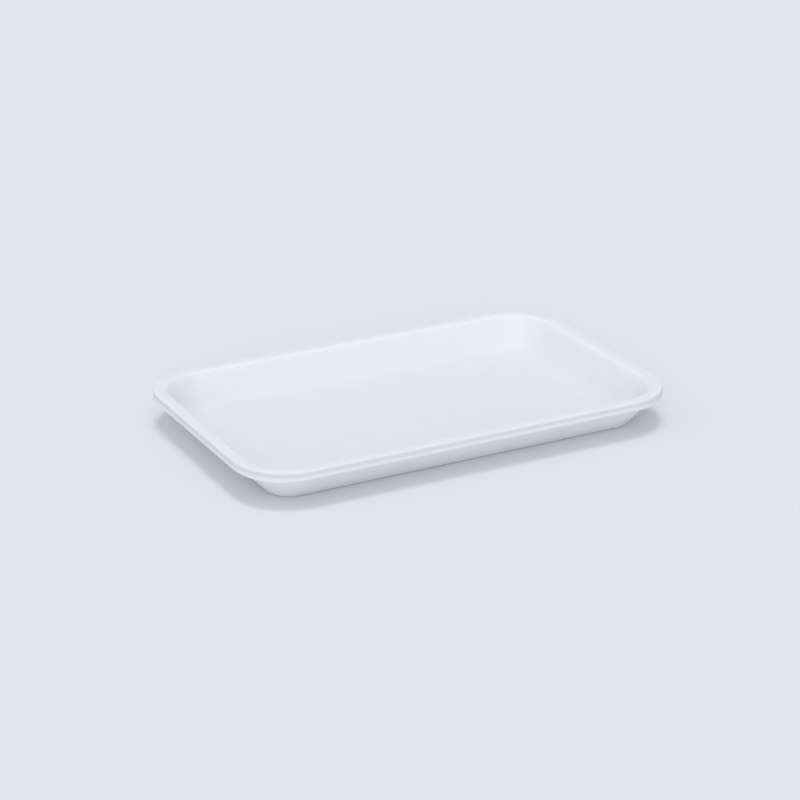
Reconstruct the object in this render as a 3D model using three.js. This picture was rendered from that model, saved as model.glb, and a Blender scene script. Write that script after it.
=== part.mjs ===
import * as THREE from "three";

// A shallow foam tray, thermoformed as one piece from a sheet of expanded polystyrene.
// The rim keeps the thickness of the sheet, and the drawn walls and floor are thinner.
// Millimetres, +Z up. The origin is at the centre of the flat underside that the tray rests on.
// One wall section, written as inset from the rim's outline and height above the ground,
// is carried round a rounded rectangle, and the floor closes it inside and underneath.

// Driving sizes
const length = 216;
const width = 140;
const height = 18.5;
const sheetThickness = 4.2;
const floorThickness = 3.6;
const lipWidth = 4.8;
const lipRadius = 3;
const innerSlopeDegrees = 55;
const floorFillet = 11;
const floorCornerRadius = 4.9;
const outerSlopeDegrees = 49;
const footRadius = 5;
const underLipRadius = 1.8;

// Die-cut rim edge
const topEdgeRadius = 0.9;
const bottomEdgeRadius = 0.6;
const edgeGroove = 0.4;
const cornerSwell = 0.7;

// Facets
const cornerSteps = 14;
const filletSteps = 8;
const lipSteps = 6;
const edgeSteps = 4;
const grooveSteps = 6;
const underLipSteps = 4;

const foamColour = 0xf1f3f8;
const foamRoughness = 0.6;

// Sizes that follow from the driving ones
const innerSlope = THREE.MathUtils.degToRad(innerSlopeDegrees);
const outerSlope = THREE.MathUtils.degToRad(outerSlopeDegrees);
const halfInnerTangent = Math.tan(innerSlope / 2);
const halfOuterTangent = Math.tan(outerSlope / 2);
const wallRun = (height - floorThickness) / Math.tan(innerSlope);
const floorInset = lipWidth + (lipRadius + floorFillet) * halfInnerTangent + wallRun;
const rimCornerRadius = floorInset + floorCornerRadius;
const lipUnderside = height - sheetThickness;
// At the rim the wall is as thick as the sheet, so the underside is parallel to the top
const underLipInset = lipWidth + (lipRadius - sheetThickness) * halfInnerTangent;
const footInset = underLipInset + lipUnderside / Math.tan(outerSlope) + footRadius * halfOuterTangent;

const quarterTurn = Math.PI / 2;

function arc(centreInset, centreHeight, radius, from, to, steps) {
  const points = [];
  for (let i = 0; i <= steps; i++) {
    const angle = from + ((to - from) * i) / steps;
    points.push({
      inset: centreInset + radius * Math.cos(angle),
      height: centreHeight + radius * Math.sin(angle),
      swell: 0,
    });
  }
  return points;
}

// How far a share of the thicker corners reaches into a stretch of the section
function withSwell(points, share) {
  points.forEach((point, i) => {
    point.swell = share(i / (points.length - 1));
  });
  return points;
}

// Concave bend from the floor up into the inner wall
function innerWall() {
  const bend = arc(
    floorInset, floorThickness + floorFillet, floorFillet,
    -quarterTurn, -quarterTurn - innerSlope, filletSteps);
  const shoulder = arc(
    lipWidth, height - lipRadius, lipRadius, quarterTurn - innerSlope, quarterTurn, lipSteps);
  return [...bend, ...shoulder];
}

// Rounded top corner, shallow hollow of the cut foam, and rounded bottom corner
function cutEdge() {
  const cutTop = height - topEdgeRadius;
  const cutBottom = lipUnderside + bottomEdgeRadius;
  const top = arc(
    topEdgeRadius, cutTop, topEdgeRadius, quarterTurn, 2 * quarterTurn, edgeSteps);
  const bottom = arc(
    bottomEdgeRadius, cutBottom, bottomEdgeRadius, 2 * quarterTurn, 3 * quarterTurn, edgeSteps);
  const hollow = [];
  for (let i = 1; i < grooveSteps; i++) {
    const down = i / grooveSteps;
    hollow.push({
      inset: edgeGroove * Math.sin(Math.PI * down) ** 2,
      height: cutTop - (cutTop - cutBottom) * down,
      swell: down,
    });
  }
  return [...top, ...hollow, ...withSwell(bottom, () => 1)];
}

// Underside of the lip, then the outer wall, which leans further in than the inner one, to the foot
function outerWall() {
  const underLip = arc(
    underLipInset - underLipRadius * halfOuterTangent, lipUnderside - underLipRadius,
    underLipRadius, quarterTurn, quarterTurn - outerSlope, underLipSteps);
  const foot = arc(
    footInset, footRadius, footRadius, -quarterTurn - outerSlope, -quarterTurn, filletSteps);
  return [...withSwell(underLip, (along) => 1 - along), ...foot];
}

// Directions round the outline, a quarter circle for each corner
function outlineStations() {
  const signs = [[1, 1], [-1, 1], [-1, -1], [1, -1]];
  const stations = [];
  signs.forEach(([signX, signY], corner) => {
    for (let i = 0; i <= cornerSteps; i++) {
      const turn = (quarterTurn * i) / cornerSteps;
      stations.push({
        centreX: signX * (length / 2 - rimCornerRadius),
        centreY: signY * (width / 2 - rimCornerRadius),
        angle: corner * quarterTurn + turn,
        // 0 at the ends of the corner and 1 in its middle
        cornerShare: Math.sin(2 * turn) ** 2,
      });
    }
  });
  return stations;
}

function place(station, point) {
  const radius = rimCornerRadius - point.inset;
  return new THREE.Vector3(
    station.centreX + radius * Math.cos(station.angle),
    station.centreY + radius * Math.sin(station.angle),
    point.height - cornerSwell * point.swell * station.cornerShare,
  );
}

function trayGeometry() {
  const section = [...innerWall(), ...cutEdge(), ...outerWall()];
  const stations = outlineStations();
  const around = stations.length;
  const positions = [];
  section.forEach((point) => {
    stations.forEach((station) => positions.push(...place(station, point).toArray()));
  });

  const index = [];
  for (let ring = 0; ring < section.length - 1; ring++) {
    for (let i = 0; i < around; i++) {
      const here = ring * around + i;
      const next = ring * around + ((i + 1) % around);
      index.push(here, here + around, next);
      index.push(next, here + around, next + around);
    }
  }

  // The floor and the underside fill the first and the last ring
  const outline = stations.map((station) => {
    const corner = place(station, section[0]);
    return new THREE.Vector2(corner.x, corner.y);
  });
  const lastRing = (section.length - 1) * around;
  THREE.ShapeUtils.triangulateShape(outline, []).forEach(([a, b, c]) => {
    index.push(a, b, c);
    index.push(lastRing + a, lastRing + c, lastRing + b);
  });

  const geometry = new THREE.BufferGeometry();
  geometry.setAttribute("position", new THREE.Float32BufferAttribute(positions, 3));
  geometry.setIndex(index);
  geometry.computeVertexNormals();
  return geometry;
}

const foam = new THREE.MeshStandardMaterial({
  color: foamColour,
  roughness: foamRoughness,
  metalness: 0,
});

const tray = new THREE.Mesh(trayGeometry(), foam);
tray.name = "foam_tray";

const part = new THREE.Group();
part.add(tray);

export default part;
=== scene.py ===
import math

import bpy
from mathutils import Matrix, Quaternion, Vector


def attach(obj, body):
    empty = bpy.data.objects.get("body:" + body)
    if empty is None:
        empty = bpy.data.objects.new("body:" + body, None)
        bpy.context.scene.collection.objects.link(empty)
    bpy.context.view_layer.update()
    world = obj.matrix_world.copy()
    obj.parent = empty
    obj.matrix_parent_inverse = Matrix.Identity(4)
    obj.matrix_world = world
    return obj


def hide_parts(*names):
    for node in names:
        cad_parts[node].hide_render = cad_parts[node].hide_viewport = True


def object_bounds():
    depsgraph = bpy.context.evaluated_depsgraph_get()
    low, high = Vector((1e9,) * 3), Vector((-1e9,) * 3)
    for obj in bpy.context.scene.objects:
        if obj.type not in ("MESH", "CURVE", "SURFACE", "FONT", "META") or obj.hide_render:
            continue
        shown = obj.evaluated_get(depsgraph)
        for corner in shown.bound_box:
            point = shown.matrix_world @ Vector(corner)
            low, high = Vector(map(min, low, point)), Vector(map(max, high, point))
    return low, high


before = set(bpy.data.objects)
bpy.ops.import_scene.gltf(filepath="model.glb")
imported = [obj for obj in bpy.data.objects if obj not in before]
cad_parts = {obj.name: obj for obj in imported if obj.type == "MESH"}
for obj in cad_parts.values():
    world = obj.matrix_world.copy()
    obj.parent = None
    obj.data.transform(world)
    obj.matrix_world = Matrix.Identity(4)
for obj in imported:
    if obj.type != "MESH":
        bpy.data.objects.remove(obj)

cadLow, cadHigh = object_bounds()
mm = 0.001
scene = bpy.context.scene
scene.view_settings.view_transform = "Standard"
print("frame loaded, CAD box in mm:", [round(size / mm, 2) for size in cadHigh - cadLow])


# Camera, at the photograph's viewing angle

cameraSetup = {
    "azimuth": -27.1,  # degrees, 0 looks along +Y
    "elevation": 21.6,
    "roll": -0.6,
    "distance": 1122 * mm,
    "aim": Vector((-2.1, 3.9, 10.0)) * mm,
    "lens": 108.2,
    "sensor": 36.0,
}


def direction(azimuth, elevation):
    # From the aim towards the camera or a lamp, both angles in degrees
    side, up = math.radians(azimuth), math.radians(elevation)
    return Vector((math.sin(side) * math.cos(up), -math.cos(side) * math.cos(up), math.sin(up)))


def makeCamera(setup):
    back = direction(setup["azimuth"], setup["elevation"])
    data = bpy.data.cameras.new("camera")
    data.lens = setup["lens"]
    data.sensor_width = setup["sensor"]
    camera = bpy.data.objects.new("camera", data)
    scene.collection.objects.link(camera)
    camera.location = setup["aim"] + back * setup["distance"]
    camera.rotation_mode = "QUATERNION"
    roll = Quaternion((0, 0, 1), math.radians(setup["roll"]))
    camera.rotation_quaternion = (-back).to_track_quat("-Z", "Y") @ roll
    scene.camera = camera


makeCamera(cameraSetup)
print("camera made")


# Node helpers: a value in a tree that can be used in formulas

class Value:
    def __init__(self, tree, socket):
        self.tree = tree
        self.socket = socket

    def math(self, operation, *others, clamp=False):
        node = self.tree.nodes.new("ShaderNodeMath")
        node.operation = operation
        node.use_clamp = clamp
        for slot, item in zip(node.inputs, (self, *others)):
            feed(self.tree, slot, item)
        return output(node)

    def __add__(self, other):
        return self.math("ADD", other)

    def __sub__(self, other):
        return self.math("SUBTRACT", other)

    def __mul__(self, other):
        return self.math("MULTIPLY", other)

    def __truediv__(self, other):
        return self.math("DIVIDE", other)

    def oneOver(self):
        return self.math("POWER", -1.0)

    def oneLess(self):
        # 1 where this is 0, and 0 where it is 1
        return self * -1.0 + 1.0

    def rampUp(self, low, high):
        # 0 below low, 1 above high, smooth between
        node = self.tree.nodes.new("ShaderNodeMapRange")
        node.interpolation_type = "SMOOTHSTEP"
        for slot, item in zip(node.inputs, (self, low, high, 0.0, 1.0)):
            feed(self.tree, slot, item)
        return output(node)


def feed(tree, slot, item):
    if isinstance(item, Value):
        tree.links.new(item.socket, slot)
    else:
        slot.default_value = item


def addNode(tree, kind, inputs=None, **settings):
    node = tree.nodes.new(kind)
    for name, setting in settings.items():
        setattr(node, name, setting)
    for name, item in (inputs or {}).items():
        feed(tree, node.inputs[name], item)
    return node


def output(node, name=0):
    return Value(node.id_data, node.outputs[name])


def vector(tree, x=0.0, y=0.0, z=0.0):
    return output(addNode(tree, "ShaderNodeCombineXYZ", {"X": x, "Y": y, "Z": z}))


def parts(tree, item):
    node = addNode(tree, "ShaderNodeSeparateXYZ", {"Vector": item})
    return [output(node, name) for name in "XYZ"]


def vectorMath(tree, operation, *items, result="Vector"):
    node = addNode(tree, "ShaderNodeVectorMath", operation=operation)
    for slot, item in zip(node.inputs, items):
        feed(tree, slot, item)
    return output(node, result)


def scaled(tree, item, factor):
    node = addNode(tree, "ShaderNodeVectorMath", {"Scale": factor}, operation="SCALE")
    feed(tree, node.inputs[0], item)
    return output(node, "Vector")


# A Mix node's slots for the share, the two values and the result
mixSlots = {
    "FLOAT": (0, 2, 3, 0),
    "VECTOR": (0, 4, 5, 1),
    "RGBA": (0, 6, 7, 2),
}


def mixed(tree, kind, share, first, second):
    node = addNode(tree, "ShaderNodeMix", data_type=kind)
    *slots, result = mixSlots[kind]
    for slot, item in zip(slots, (share, first, second)):
        feed(tree, node.inputs[slot], item)
    return output(node, result)


# The tray: one wall section carried round a rounded rectangle

traySizes = {
    "Length": cadHigh.x - cadLow.x,
    "Width": cadHigh.y - cadLow.y,
    "Height": cadHigh.z - cadLow.z,
    "Sheet Thickness": 4.2 * mm,
    "Floor Thickness": 3.6 * mm,
    "Lip Width": 4.8 * mm,
    "Lip Radius": 3.0 * mm,
    "Inner Slope": 55.0,  # degrees from the ground, as the outer one
    "Floor Fillet": 11.0 * mm,
    "Floor Corner Radius": 4.9 * mm,
    "Outer Slope": 49.0,
    "Foot Radius": 2.0 * mm,  # tighter than the solid's, for a fine line on the ground
    "Under Lip Radius": 1.8 * mm,
    "Top Edge Radius": 0.9 * mm,
    "Bottom Edge Radius": 0.6 * mm,
    "Edge Groove": 0.4 * mm,
    "Groove Rounding": 2.5 * mm,
    "Corner Swell": 0.7 * mm,  # extra thickness of the rim at its corners
    "Unevenness": 0.25 * mm,
    "Unevenness Span": 70.0 * mm,
    "Unevenness Seed": 3.7,
    # Where the foam shows its cut, whose darker colour is partly painted shade: insets, depths below
    # the top, and shares of the rim's thickness
    "Cut Until": 0.9 * mm,
    "Skin From": 1.7 * mm,
    "Top Skin Until": -0.05 * mm,
    "Cut From": 0.3 * mm,
    # The edge's upper band takes the full darker cut colour, partly painted shade. Its lower band
    # takes only part of it, so it is painted lighter.
    "Lower Band Until": 0.35,
    "Upper Band From": 0.6,
    "Lower Band Cut Share": 0.35,
}
trayMesh = {
    "Stations": 480,
    "Corner Points": 48,
    "Bend Points": 12,
    "Longest Step": 3.0 * mm,
    "Merge Distance": 0.01 * mm,
}


def openInputs(tree):
    # The tree's named inputs, as values for its formulas
    tree.interface.new_socket("Geometry", in_out="INPUT", socket_type="NodeSocketGeometry")
    for name, setting in (traySizes | trayMesh).items():
        kind = "NodeSocketInt" if isinstance(setting, int) else "NodeSocketFloat"
        tree.interface.new_socket(name, in_out="INPUT", socket_type=kind)
    tree.interface.new_socket("Material", in_out="INPUT", socket_type="NodeSocketMaterial")
    tree.interface.new_socket("Geometry", in_out="OUTPUT", socket_type="NodeSocketGeometry")
    given = tree.nodes.new("NodeGroupInput")
    return {name: output(given, name) for name in (*traySizes, *trayMesh, "Material")}


def followingSizes(size):
    # Sizes that follow from the driving ones, with insets from the rim's outline inwards
    innerSlope = size["Inner Slope"].math("RADIANS")
    outerSlope = size["Outer Slope"].math("RADIANS")
    halfInner = (innerSlope * 0.5).math("TANGENT")
    shoulder = size["Lip Width"] + size["Lip Radius"] * halfInner
    wallRise = size["Height"] - size["Floor Thickness"]
    floorCorner = shoulder + wallRise / innerSlope.math("TANGENT")
    floorInset = floorCorner + size["Floor Fillet"] * halfInner
    underside = size["Height"] - size["Sheet Thickness"]
    underBend = size["Lip Width"] + (size["Lip Radius"] - size["Sheet Thickness"]) * halfInner
    return {
        "shoulder": shoulder,
        "floorCorner": floorCorner,
        "floorInset": floorInset,
        "rimRadius": floorInset + size["Floor Corner Radius"],
        "underside": underside,
        "underBend": underBend,
        "underBendHalf": size["Under Lip Radius"] * (outerSlope * 0.5).math("TANGENT"),
        "footCorner": underBend + underside / outerSlope.math("TANGENT"),
        "middle": size["Width"] * 0.5,
    }


def indexChoice(tree, kind, items):
    # One value for each point of a curve, by its index
    node = addNode(tree, "GeometryNodeIndexSwitch", data_type=kind)
    while len(node.index_switch_items) < len(items):
        node.index_switch_items.new()
    feed(tree, node.inputs["Index"], output(addNode(tree, "GeometryNodeInputIndex")))
    for slot, item in zip(list(node.inputs)[1:], items):
        feed(tree, slot, item)
    return output(node)


def filleted(tree, curve, radius, count):
    inputs = {"Curve": curve, "Radius": radius, "Count": count}
    return output(addNode(tree, "GeometryNodeFilletCurve", inputs, mode="POLY"))


def keepPosition(tree, curve, name):
    # The curve, and its own positions for use after the sweep
    node = addNode(tree, "GeometryNodeCaptureAttribute", {"Geometry": curve})
    node.capture_items.new("VECTOR", name)
    feed(tree, node.inputs[1], output(addNode(tree, "GeometryNodeInputPosition")))
    return output(node), output(node, 1)


def wallSection(tree, size):
    # Inset, level and bend radius, from the middle of the floor round the rim to that of the base
    middle, bottom = size["middle"], size["Floor Thickness"]
    height, underside = size["Height"], size["underside"]
    groove = height - size["Sheet Thickness"] * 0.5
    corners = [
        (middle, bottom, 0.0),
        (size["floorCorner"], bottom, size["Floor Fillet"]),
        (size["shoulder"], height, size["Lip Radius"]),
        (0.0, height, size["Top Edge Radius"]),
        (size["Edge Groove"], groove, size["Groove Rounding"]),
        (0.0, underside, size["Bottom Edge Radius"]),
        (size["underBend"], underside, size["Under Lip Radius"]),
        (size["footCorner"], 0.0, size["Foot Radius"]),
        (middle, 0.0, 0.0),
    ]
    line = output(addNode(tree, "GeometryNodeCurvePrimitiveLine"))
    points = addNode(tree, "GeometryNodeResampleCurve", {"Curve": line, "Count": len(corners)})
    places = indexChoice(tree, "VECTOR", [vector(tree, inset, level) for inset, level, _ in corners])
    placed = addNode(
        tree, "GeometryNodeSetPosition", {"Geometry": output(points), "Position": places})
    radii = indexChoice(tree, "FLOAT", [radius for _, _, radius in corners])
    bent = filleted(tree, output(placed), radii, size["Bend Points"])

    # Long straight stretches get points in between
    position = output(addNode(tree, "GeometryNodeInputPosition"))
    nextIndex = output(addNode(tree, "GeometryNodeInputIndex")) + 1.0
    ahead = addNode(
        tree, "GeometryNodeFieldAtIndex", {"Index": nextIndex, "Value": position},
        data_type="FLOAT_VECTOR")
    stretch = vectorMath(tree, "DISTANCE", position, output(ahead), result="Value")
    cuts = (stretch / size["Longest Step"]).math("FLOOR")
    divided = addNode(tree, "GeometryNodeSubdivideCurve", {"Curve": bent, "Cuts": cuts})
    section, place = keepPosition(tree, output(divided), "section")
    inset, level, _ = parts(tree, place)
    return section, inset, level


def rimOutline(tree, size):
    rectangle = addNode(
        tree, "GeometryNodeCurvePrimitiveQuadrilateral",
        {"Width": size["Length"], "Height": size["Width"]})
    rounded = filleted(tree, output(rectangle), size["rimRadius"], size["Corner Points"])
    even = addNode(
        tree, "GeometryNodeResampleCurve", {"Curve": rounded, "Count": size["Stations"]})
    return keepPosition(tree, output(even), "rim")


def ringPlace(tree, size, rimPoint, inset):
    # Parallel rings down to the floor's edge, then rings that close on the middle line
    rimRadius, floorInset, middle = size["rimRadius"], size["floorInset"], size["middle"]
    reach = vector(tree, size["Length"] * 0.5 - rimRadius, size["Width"] * 0.5 - rimRadius)
    held = vectorMath(tree, "MAXIMUM", rimPoint, scaled(tree, reach, -1.0))
    centre = vectorMath(tree, "MINIMUM", held, reach)
    outward = vectorMath(tree, "NORMALIZE", vectorMath(tree, "SUBTRACT", rimPoint, centre))
    ringRadius = rimRadius - inset.math("MINIMUM", floorInset)
    ring = vectorMath(tree, "ADD", centre, scaled(tree, outward, ringRadius))

    spine = size["Length"] * 0.5 - middle
    step = size["Longest Step"]
    snapped = (parts(tree, ring)[0] + step * 0.5).math("SNAP", step)
    spineX = snapped.math("MINIMUM", spine).math("MAXIMUM", spine * -1.0)
    closing = ((inset - floorInset) / (middle - floorInset)).math("MAXIMUM", 0.0)
    return mixed(tree, "VECTOR", closing, ring, vector(tree, spineX)), outward, closing


def cornerDrop(tree, size, outward, inset, level):
    # Thicker foam at the corners of the rim, which fades out along the outer wall
    outX, outY, _ = parts(tree, outward)
    cornerShare = (outX * outY * 2.0).math("POWER", 2.0)
    bendHalf = size["underBendHalf"]
    toWall = (size["underBend"] + bendHalf - inset) / (bendHalf * 2.0)
    fade = toWall.math("MULTIPLY", 1.0, clamp=True)
    swellShare = ((size["Height"] - level) / size["Sheet Thickness"]).math("MINIMUM", 1.0) * fade
    return size["Corner Swell"] * cornerShare * swellShare


def unevenPlace(tree, size, flat, outward, closing, level, drop):
    # Slight unevenness of a formed sheet, none at the ground and none sideways on the middle line
    noise = addNode(
        tree, "ShaderNodeTexNoise",
        {
            "Vector": flat,
            "W": size["Unevenness Seed"],
            "Scale": size["Unevenness Span"].oneOver(),
            "Detail": 1.0,
        },
        noise_dimensions="4D")
    first, second, _ = parts(tree, output(noise, "Color"))
    most = size["Unevenness"] * (level / size["Height"])
    draw = most * second * closing.oneLess()
    drawn = vectorMath(tree, "SUBTRACT", flat, scaled(tree, outward, draw))
    return vectorMath(tree, "ADD", drawn, vector(tree, 0.0, 0.0, level - drop - most * first))


def cutShare(size, inset, level):
    # 0 on the skin and 1 on the full cut, for the finish. The darker cut colour it brings is partly
    # painted shade on the rounded top edge and the edge's upper band, and its smaller share on the
    # lower band paints that band lighter.
    upRim = (level - size["underside"]) / size["Sheet Thickness"]
    upperBand = upRim.rampUp(size["Lower Band Until"], size["Upper Band From"])
    bandShare = upperBand + size["Lower Band Cut Share"] * upperBand.oneLess()
    onEdge = inset.rampUp(size["Cut Until"], size["Skin From"]).oneLess()
    belowTop = (size["Height"] - level).rampUp(size["Top Skin Until"], size["Cut From"])
    return onEdge * belowTop * bandShare


def buildTrayTree():
    tree = bpy.data.node_groups.new("trayShape", "GeometryNodeTree")
    size = openInputs(tree)
    size |= followingSizes(size)
    section, inset, level = wallSection(tree, size)
    outline, rimPoint = rimOutline(tree, size)
    swept = addNode(
        tree, "GeometryNodeCurveToMesh",
        {"Curve": outline, "Profile Curve": section, "Fill Caps": False})

    flat, outward, closing = ringPlace(tree, size, rimPoint, inset)
    drop = cornerDrop(tree, size, outward, inset, level)
    place = unevenPlace(tree, size, flat, outward, closing, level, drop)
    shaped = addNode(
        tree, "GeometryNodeSetPosition", {"Geometry": output(swept), "Position": place})
    marked = addNode(
        tree, "GeometryNodeStoreNamedAttribute",
        {"Geometry": output(shaped), "Name": "cutFoam", "Value": cutShare(size, inset, level)},
        data_type="FLOAT", domain="POINT")
    merged = addNode(
        tree, "GeometryNodeMergeByDistance",
        {"Geometry": output(marked), "Distance": size["Merge Distance"]})
    smooth = addNode(tree, "GeometryNodeSetShadeSmooth", {"Geometry": output(merged)})
    real = addNode(tree, "GeometryNodeRealizeInstances", {"Geometry": output(smooth)})
    finished = addNode(
        tree, "GeometryNodeSetMaterial",
        {"Geometry": output(real), "Material": size["Material"]})
    result = tree.nodes.new("NodeGroupOutput")
    feed(tree, result.inputs[0], output(finished))
    return tree


def makeTray(material):
    tree = buildTrayTree()
    carrier = bpy.data.objects.new("trayCarrier", bpy.data.meshes.new("trayCarrier"))
    scene.collection.objects.link(carrier)
    modifier = carrier.modifiers.new("trayShape", "NODES")
    modifier.node_group = tree
    inputs = [item for item in tree.interface.items_tree if item.in_out == "INPUT"]
    sockets = {item.name: item.identifier for item in inputs}
    for name, setting in (traySizes | trayMesh | {"Material": material}).items():
        modifier[sockets[name]] = setting
    evaluated = carrier.evaluated_get(bpy.context.evaluated_depsgraph_get())
    mesh = bpy.data.meshes.new_from_object(evaluated)
    mesh.name = "foamTray"
    tray = bpy.data.objects.new("foamTray", mesh)
    scene.collection.objects.link(tray)
    bpy.data.objects.remove(carrier)
    return tray


# Finishes

foamLook = {
    "skin": (0.795, 0.805, 0.817, 1.0),
    # The cut colour is the greyer cut foam, and partly painted shade on the rim's edge
    "cut": (0.71, 0.72, 0.735, 1.0),
    "darkened": (0.965, 0.967, 0.972),  # what is left of a colour in full mottle or a dark cell
    "mottleShade": 0.5,
    "cellShade": 0.25,
    "cutCellShade": 0.9,
    "skinRoughness": 0.5,
    "roughnessSpread": 0.08,
    "cutRoughness": 0.8,
    "sheen": 0.3,
    "skinGlow": 1.0,
    "cutGlow": 0.4,
    "lightReach": 2.5 * mm,
    "cellSize": 0.45 * mm,
    "cutCellSize": 0.3 * mm,
    "mottleSize": 14.0 * mm,
    "shadeRange": (0.3, 0.75),
    "glossRange": (0.25, 0.75),
    "skinDepth": 0.012 * mm,
    "cutDepth": 0.06 * mm,
}
cellsStart = {
    "Cell Size": 0.5 * mm,
    "Mottle Size": 12.0 * mm,
    "Stretch": 1.3,
}


def buildCellsGroup():
    # Closed foam cells seen through a skin, drawn out a little along the sheet
    tree = bpy.data.node_groups.new("foamCells", "ShaderNodeTree")
    for name, start in cellsStart.items():
        socket = tree.interface.new_socket(name, in_out="INPUT", socket_type="NodeSocketFloat")
        socket.default_value = start
    for name in ("Height", "Tone", "Mottle"):
        tree.interface.new_socket(name, in_out="OUTPUT", socket_type="NodeSocketFloat")
    given = tree.nodes.new("NodeGroupInput")
    place = output(addNode(tree, "ShaderNodeTexCoord"), "Object")
    alongSheet = vector(tree, output(given, "Stretch").oneOver(), 1.0, 1.0)
    drawnOut = vectorMath(tree, "MULTIPLY", place, alongSheet)
    cellScale = output(given, "Cell Size").oneOver()
    cells = addNode(
        tree, "ShaderNodeTexVoronoi",
        {"Vector": drawnOut, "Scale": cellScale, "Smoothness": 0.6}, feature="SMOOTH_F1")
    cellTone = addNode(tree, "ShaderNodeSeparateColor", {"Color": output(cells, "Color")})
    mottleScale = output(given, "Mottle Size").oneOver()
    mottle = addNode(
        tree, "ShaderNodeTexNoise", {"Vector": place, "Scale": mottleScale, "Detail": 3.0})
    result = tree.nodes.new("NodeGroupOutput")
    feed(tree, result.inputs["Height"], output(cells, "Distance").oneLess())
    feed(tree, result.inputs["Tone"], output(cellTone, "Red"))
    feed(tree, result.inputs["Mottle"], output(mottle, "Fac"))
    return tree


def newMaterial(name):
    material = bpy.data.materials.new(name)
    material.use_nodes = True
    tree = material.node_tree
    tree.nodes.clear()
    shader = tree.nodes.new("ShaderNodeBsdfPrincipled")
    end = tree.nodes.new("ShaderNodeOutputMaterial")
    tree.links.new(shader.outputs[0], end.inputs["Surface"])
    return material, tree, shader


def makeFoam(look):
    material, tree, shader = newMaterial("trayFoam")
    group = buildCellsGroup()
    skin = addNode(
        tree, "ShaderNodeGroup",
        {"Cell Size": look["cellSize"], "Mottle Size": look["mottleSize"]}, node_tree=group)
    cut = addNode(tree, "ShaderNodeGroup", {"Cell Size": look["cutCellSize"]}, node_tree=group)
    share = output(addNode(tree, "ShaderNodeAttribute", attribute_name="cutFoam"), "Fac")
    mottle = output(skin, "Mottle")

    # The skin colour, or on the cut the darker colour that is partly painted shade
    shade = mixed(tree, "RGBA", share, look["skin"], look["cut"])
    darker = vectorMath(tree, "MULTIPLY", shade, look["darkened"])
    mottleTone = mottle.rampUp(*look["shadeRange"]) * look["mottleShade"]
    skinTone = mottleTone + output(skin, "Tone") * look["cellShade"]
    cutTone = output(cut, "Tone") * look["cutCellShade"]
    tone = mixed(tree, "FLOAT", share, skinTone, cutTone)
    feed(tree, shader.inputs["Base Color"], mixed(tree, "RGBA", tone, shade, darker))

    spread = look["roughnessSpread"]
    satin = mottle.rampUp(*look["glossRange"]) * spread + (look["skinRoughness"] - spread / 2)
    roughness = mixed(tree, "FLOAT", share, satin, look["cutRoughness"])
    feed(tree, shader.inputs["Roughness"], roughness)
    shader.inputs["Specular IOR Level"].default_value = look["sheen"]

    # A little light passes through the foam
    glow = mixed(tree, "FLOAT", share, look["skinGlow"], look["cutGlow"])
    feed(tree, shader.inputs["Subsurface Weight"], glow)
    shader.inputs["Subsurface Radius"].default_value = (1.0, 1.0, 1.0)
    shader.inputs["Subsurface Scale"].default_value = look["lightReach"]

    skinRelief = output(skin, "Height") * (look["skinDepth"] / mm)
    cutRelief = output(cut, "Height") * (look["cutDepth"] / mm)
    relief = mixed(tree, "FLOAT", share, skinRelief, cutRelief)
    bump = addNode(tree, "ShaderNodeBump", {"Height": relief, "Distance": mm, "Strength": 1.0})
    feed(tree, shader.inputs["Normal"], output(bump))
    return material


foam = makeFoam(foamLook)
print("finishes made")

tray = makeTray(foam)
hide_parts("foam_tray")
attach(tray, "root")
print("tray made:", len(tray.data.vertices), "points,", len(tray.data.polygons), "faces")


# Floor and light

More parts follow.
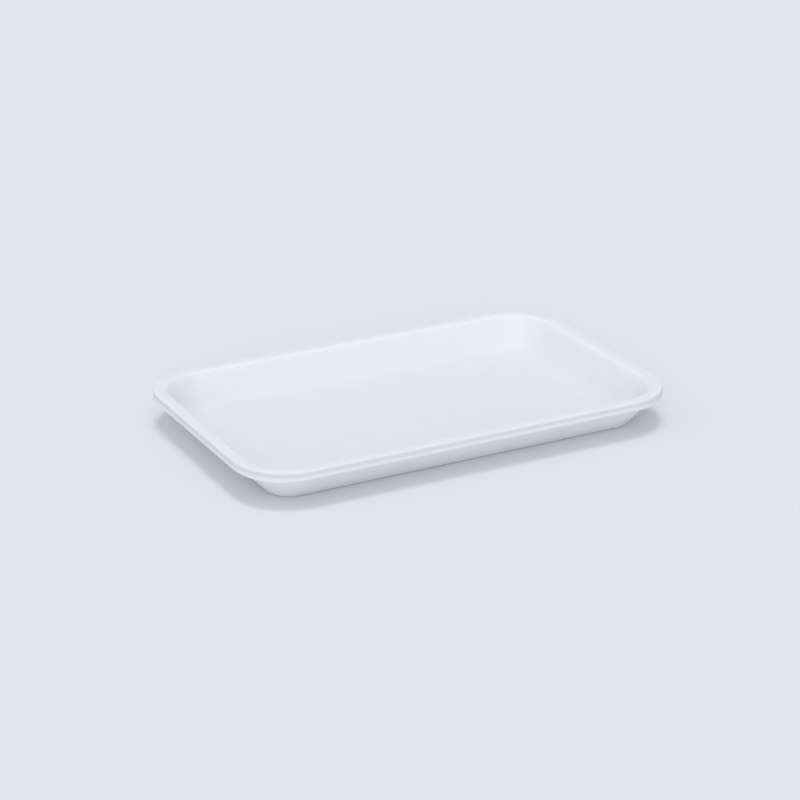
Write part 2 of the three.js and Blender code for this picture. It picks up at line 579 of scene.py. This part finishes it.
studio = {
    "floorSize": 16.0,
    "floorDrop": 0.02 * mm,  # keeps the floor out of the plane of the tray's base
    "floorColour": (0.792, 0.802, 0.83, 1.0),
    "floorRoughness": 0.7,
    "backdrop": (0.760, 0.783, 0.855, 1.0),  # as the lit floor renders
    "lightTint": (0.970, 0.988, 1.042),
    "domeStrength": 0.57,
    "lampDistance": 2.0,
    # Soft lamps: azimuth round from the camera, elevation and width across in degrees, strength
    "lamps": {
        "topLamp": (0.0, 84.0, 18.0, 0.7),
        "frontLamp": (0.0, 60.0, 50.0, 0.42),
        "lowLamp": (0.0, 12.0, 40.0, 0.88),
        "leftLamp": (-90.0, 30.0, 50.0, 0.12),
    },
}


def makeFloor(look):
    half, low = look["floorSize"] / 2, -look["floorDrop"]
    corners = [(-half, -half, low), (half, -half, low), (half, half, low), (-half, half, low)]
    mesh = bpy.data.meshes.new("studioFloor")
    mesh.from_pydata(corners, [], [(0, 1, 2, 3)])
    floor = bpy.data.objects.new("studioFloor", mesh)
    scene.collection.objects.link(floor)
    material, tree, shader = newMaterial("studioFloor")
    shader.inputs["Base Color"].default_value = look["floorColour"]
    shader.inputs["Roughness"].default_value = look["floorRoughness"]
    mesh.materials.append(material)


def makeDome(look):
    # An even light from all round, and the backdrop where a ray looks straight at it
    world = bpy.data.worlds.new("studio")
    world.use_nodes = True
    tree = world.node_tree
    tree.nodes.clear()
    tint = (*look["lightTint"], 1.0)
    dome = addNode(
        tree, "ShaderNodeBackground", {"Color": tint, "Strength": look["domeStrength"]})
    seen = addNode(tree, "ShaderNodeBackground", {"Color": look["backdrop"], "Strength": 1.0})
    path = tree.nodes.new("ShaderNodeLightPath")
    mirrored = output(path, "Is Glossy Ray") + output(path, "Is Transmission Ray")
    mix = tree.nodes.new("ShaderNodeMixShader")
    end = tree.nodes.new("ShaderNodeOutputWorld")
    sources = (output(path, "Is Camera Ray") + mirrored, output(dome), output(seen))
    for slot, item in zip(mix.inputs, sources):
        feed(tree, slot, item)
    feed(tree, end.inputs["Surface"], output(mix))
    scene.world = world


def makeLamps(look):
    for name, (side, elevation, width, strength) in look["lamps"].items():
        lamp = bpy.data.lights.new(name, "SUN")
        lamp.energy = strength
        lamp.color = look["lightTint"]
        lamp.angle = math.radians(width)
        sun = bpy.data.objects.new(name, lamp)
        scene.collection.objects.link(sun)
        towards = direction(cameraSetup["azimuth"] + side, elevation)
        sun.rotation_mode = "QUATERNION"
        sun.rotation_quaternion = (-towards).to_track_quat("-Z", "Y")
        sun.location = towards * look["lampDistance"]


makeFloor(studio)
makeDome(studio)
makeLamps(studio)
print("floor and light made")
